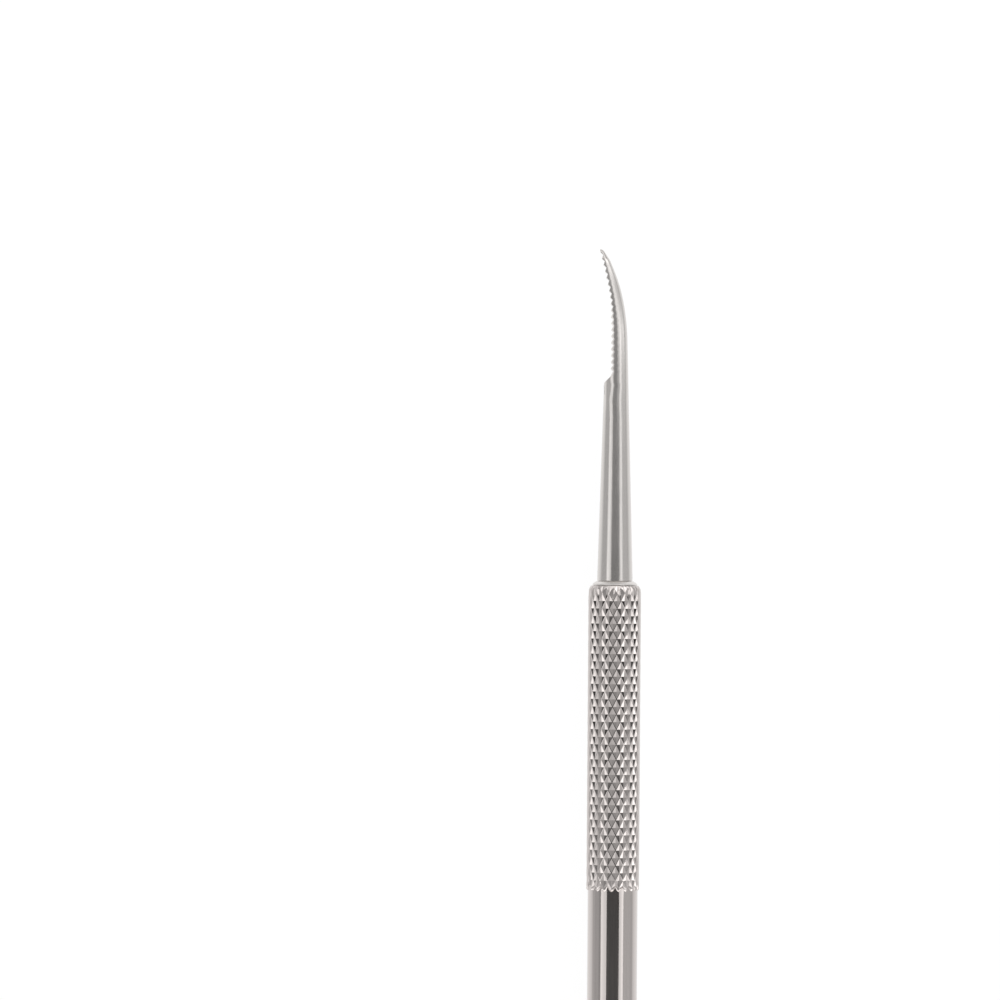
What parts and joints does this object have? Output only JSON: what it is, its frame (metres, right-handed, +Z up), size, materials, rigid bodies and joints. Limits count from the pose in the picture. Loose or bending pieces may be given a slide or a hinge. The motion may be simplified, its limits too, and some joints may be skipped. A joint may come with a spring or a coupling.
{
  "type": "ingrown toenail tool",
  "caption": "Slim double-ended steel nail tool with a knurled tube handle, a curved toothed file at one end and a thin curved lifter at the other.",
  "frame": {"origin": "under the middle of the tool, on the surface that it lies on", "axes": "+X along the tool from the file towards the lifter, +Z up, and the file's teeth face -Y"},
  "size_m": [0.152, 0.0052, 0.0053],
  "materials": {
    "satin_steel": "bright drawn and knurled stainless steel, satin",
    "turned_steel": "fine turned stainless steel",
    "ground_steel": "ground and satin brushed stainless steel",
    "polished_steel": "polished stainless steel"
  },
  "bodies": {
    "root": {"handle_tube": "satin_steel", "file_end_collar": "turned_steel", "lifter_end_collar": "turned_steel", "file_tip": "ground_steel", "lifter_tip": "polished_steel"}
  },
  "joints": []
}
